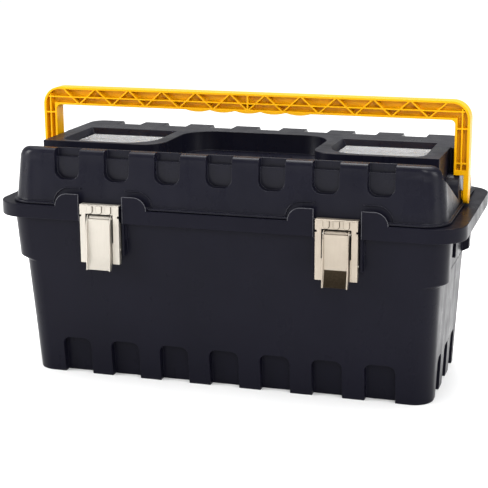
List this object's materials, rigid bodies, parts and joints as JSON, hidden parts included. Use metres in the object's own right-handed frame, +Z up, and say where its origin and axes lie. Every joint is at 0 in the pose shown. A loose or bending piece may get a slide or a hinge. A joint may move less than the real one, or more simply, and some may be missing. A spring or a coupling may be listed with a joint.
{
  "type": "toolbox with tray",
  "caption": "Long plastic toolbox with castellated edges, metal draw latches, a folding truss handle, lid organisers with clear covers and a lift-out tray.",
  "frame": {"origin": "centre of the overall box, latches and hinges included, at the height of the feet", "axes": "+X along the length, -Y the front with the latches, +Z up"},
  "size_m": [0.512, 0.25, 0.308],
  "materials": {
    "tub_plastic": "semi-matt moulded polypropylene",
    "handle_plastic": "satin moulded polypropylene",
    "clear_plastic": "clear moulded plastic",
    "tray_plastic": "semi-matt moulded polypropylene",
    "latch_plate": "bright nickel-plated sheet",
    "pin_steel": "bright drawn wire"
  },
  "bodies": {
    "tub": {"tub_body": "tub_plastic", "hinge_pin_left": "pin_steel", "hinge_pin_right": "pin_steel", "latch_base_left": "latch_plate", "latch_base_right": "latch_plate", "latch_rivets_left": "pin_steel", "latch_rivets_right": "pin_steel", "lever_pin_left": "pin_steel", "lever_pin_right": "pin_steel"},
    "lid": {"lid_shell": "tub_plastic"},
    "handle": {"carry_handle": "handle_plastic"},
    "cover_left": {"organizer_cover_left": "clear_plastic"},
    "cover_right": {"organizer_cover_right": "clear_plastic"},
    "tray": {"tote_tray": "tray_plastic"},
    "lever_left": {"latch_lever_left": "latch_plate"},
    "lever_right": {"latch_lever_right": "latch_plate"},
    "hasp_left": {"latch_hasp_left": "latch_plate", "hasp_pin_left": "pin_steel"},
    "hasp_right": {"latch_hasp_right": "latch_plate", "hasp_pin_right": "pin_steel"}
  },
  "joints": [
    {"name": "lid_hinge", "type": "hinge", "parent": "tub", "child": "lid", "pos_m": [0, 0.12, 0.201], "axis": [-1, 0, 0], "range_deg": [0, 105]},
    {"name": "handle_fold", "type": "hinge", "parent": "lid", "child": "handle", "pos_m": [0, 0.01, 0.2065], "axis": [1, 0, 0], "range_deg": [0, 65]},
    {"name": "tray_lift", "type": "slide", "parent": "tub", "child": "tray", "axis": [0, 0, 1], "range_m": [0, 0.016]},
    {"name": "cover_left_hinge", "type": "hinge", "parent": "lid", "child": "cover_left", "pos_m": [-0.151, 0.036, 0.2473], "axis": [-1, 0, 0], "range_deg": [0, 45]},
    {"name": "lever_left_turn", "type": "hinge", "parent": "tub", "child": "lever_left", "pos_m": [-0.129, -0.1155, 0.186], "axis": [-1, 0, 0], "range_deg": [0, 150]},
    {"name": "hasp_left_turn", "type": "hinge", "parent": "lever_left", "child": "hasp_left", "pos_m": [-0.129, -0.114, 0.153], "axis": [1, 0, 0], "range_deg": [0, 150]},
    {"name": "cover_right_hinge", "type": "hinge", "parent": "lid", "child": "cover_right", "pos_m": [0.151, 0.036, 0.2473], "axis": [-1, 0, 0], "range_deg": [0, 45]},
    {"name": "lever_right_turn", "type": "hinge", "parent": "tub", "child": "lever_right", "pos_m": [0.129, -0.1155, 0.186], "axis": [-1, 0, 0], "range_deg": [0, 150]},
    {"name": "hasp_right_turn", "type": "hinge", "parent": "lever_right", "child": "hasp_right", "pos_m": [0.129, -0.114, 0.153], "axis": [1, 0, 0], "range_deg": [0, 150]}
  ],
  "couplings": [
    {"joint": "hasp_left_turn", "follows": "lever_left_turn", "ratio": 1},
    {"joint": "hasp_right_turn", "follows": "lever_right_turn", "ratio": 1}
  ]
}
